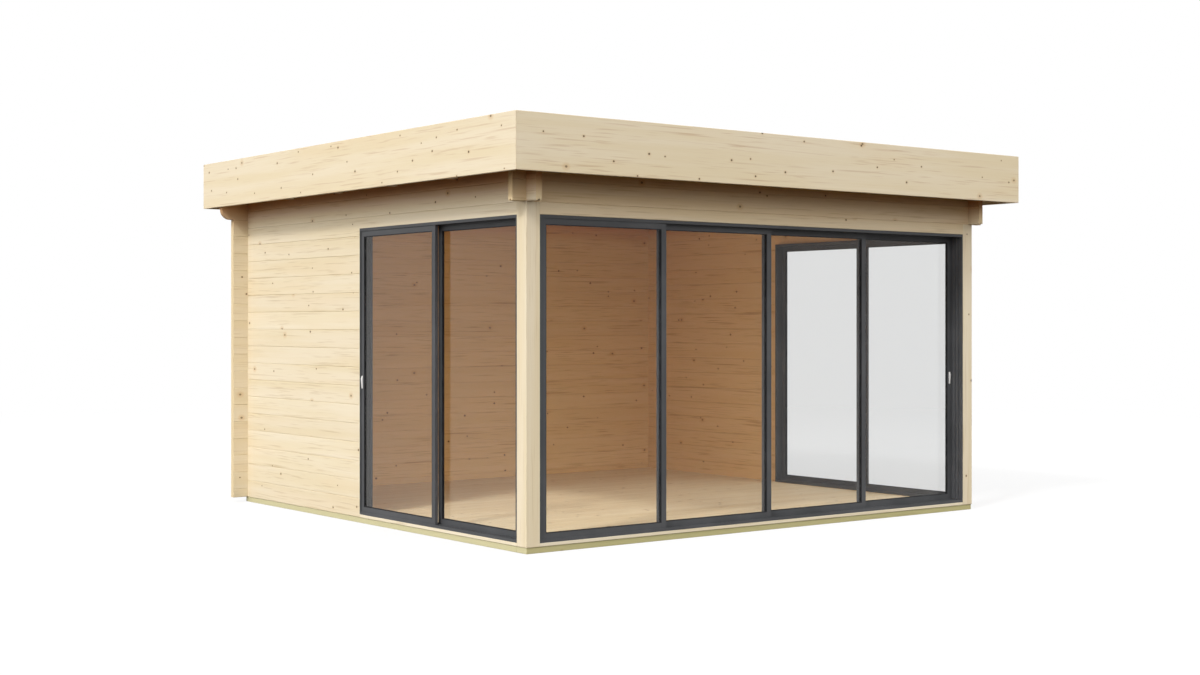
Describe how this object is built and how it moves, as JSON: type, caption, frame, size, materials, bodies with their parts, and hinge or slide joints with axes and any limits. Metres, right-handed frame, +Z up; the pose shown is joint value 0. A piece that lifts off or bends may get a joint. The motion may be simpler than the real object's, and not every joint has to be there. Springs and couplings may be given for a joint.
{
  "type": "garden office pod",
  "caption": "Log-built garden office pod with a flat roof behind a deep fascia, notched log corners at the rear and sliding glass door sets on the front and both sides.",
  "frame": {"origin": "on the ground, at the centre of the roof's outline", "axes": "+Z up, +X along the front from left to right seen from outside, front towards -Y"},
  "size_m": [4.7, 4.46, 2.7225],
  "materials": {
    "spruce": "planed, untreated",
    "treated_timber": "sawn, pressure treated",
    "floor_boards": "planed",
    "roof_boards": "planed",
    "roofing": "matte",
    "anthracite": "satin powder coat",
    "glass": "clear",
    "pull": "satin"
  },
  "bodies": {
    "house": {"base_beams": "treated_timber", "floor_joists": "treated_timber", "floor": "floor_boards", "front_sill": "spruce", "left_sill": "spruce", "right_sill": "spruce", "front_left_post": "spruce", "front_right_post": "spruce", "left_wall": "spruce", "right_wall": "spruce", "back_wall": "spruce", "front_header": "spruce", "left_header": "spruce", "right_header": "spruce", "roof_beams": "spruce", "roof_deck": "roof_boards", "roof_membrane": "roofing", "front_fascia": "spruce", "rear_fascia": "spruce", "left_fascia": "spruce", "right_fascia": "spruce", "front_door_frame": "anthracite", "left_door_frame": "anthracite", "right_door_frame": "anthracite", "front_door_1": "anthracite", "front_glass_1": "glass", "left_fixed_door": "anthracite", "left_fixed_glass": "glass", "right_fixed_door": "anthracite", "right_fixed_glass": "glass"},
    "front_slider_2": {"front_door_2": "anthracite", "front_glass_2": "glass"},
    "front_slider_3": {"front_door_3": "anthracite", "front_glass_3": "glass"},
    "front_slider_4": {"front_door_4": "anthracite", "front_glass_4": "glass", "front_pull": "pull"},
    "left_slider": {"left_sliding_door": "anthracite", "left_sliding_glass": "glass", "left_pull": "pull"},
    "right_slider": {"right_sliding_door": "anthracite", "right_sliding_glass": "glass", "right_pull": "pull"}
  },
  "joints": [
    {"name": "front_door_2_slide", "type": "slide", "parent": "house", "child": "front_slider_2", "axis": [-1, 0, 0], "range_m": [0, 0.936]},
    {"name": "front_door_3_slide", "type": "slide", "parent": "front_slider_2", "child": "front_slider_3", "axis": [-1, 0, 0], "range_m": [0, 0.936]},
    {"name": "front_door_4_slide", "type": "slide", "parent": "front_slider_3", "child": "front_slider_4", "axis": [-1, 0, 0], "range_m": [0, 0.936]},
    {"name": "left_door_slide", "type": "slide", "parent": "house", "child": "left_slider", "axis": [0, -1, 0], "range_m": [0, 0.936]},
    {"name": "right_door_slide", "type": "slide", "parent": "house", "child": "right_slider", "axis": [0, -1, 0], "range_m": [0, 0.936]}
  ]
}
